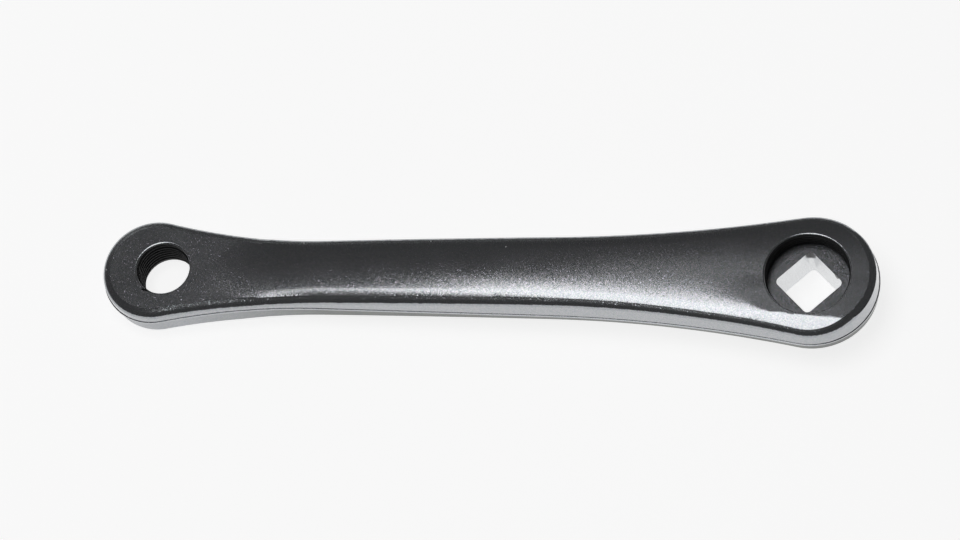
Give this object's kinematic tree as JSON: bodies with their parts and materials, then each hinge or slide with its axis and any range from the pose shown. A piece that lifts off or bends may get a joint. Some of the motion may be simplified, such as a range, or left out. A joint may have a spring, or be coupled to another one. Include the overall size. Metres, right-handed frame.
{
  "type": "bicycle crank arm",
  "caption": "Painted alloy left crank arm with a crowned face, a square-taper spindle socket in a threaded extractor recess and a threaded pedal eye.",
  "frame": {"origin": "on the spindle axis, at the face of the boss that points to the bicycle", "axes": "+Z along the spindle axis, out of the outer face; -X from the spindle axis to the pedal axis"},
  "size_m": [0.2049, 0.0344, 0.0185],
  "materials": {
    "paint": "satin metallic-flake paint over forged aluminium alloy, bare metal in the spindle socket"
  },
  "bodies": {
    "root": {"crank_arm": "paint"}
  },
  "joints": []
}
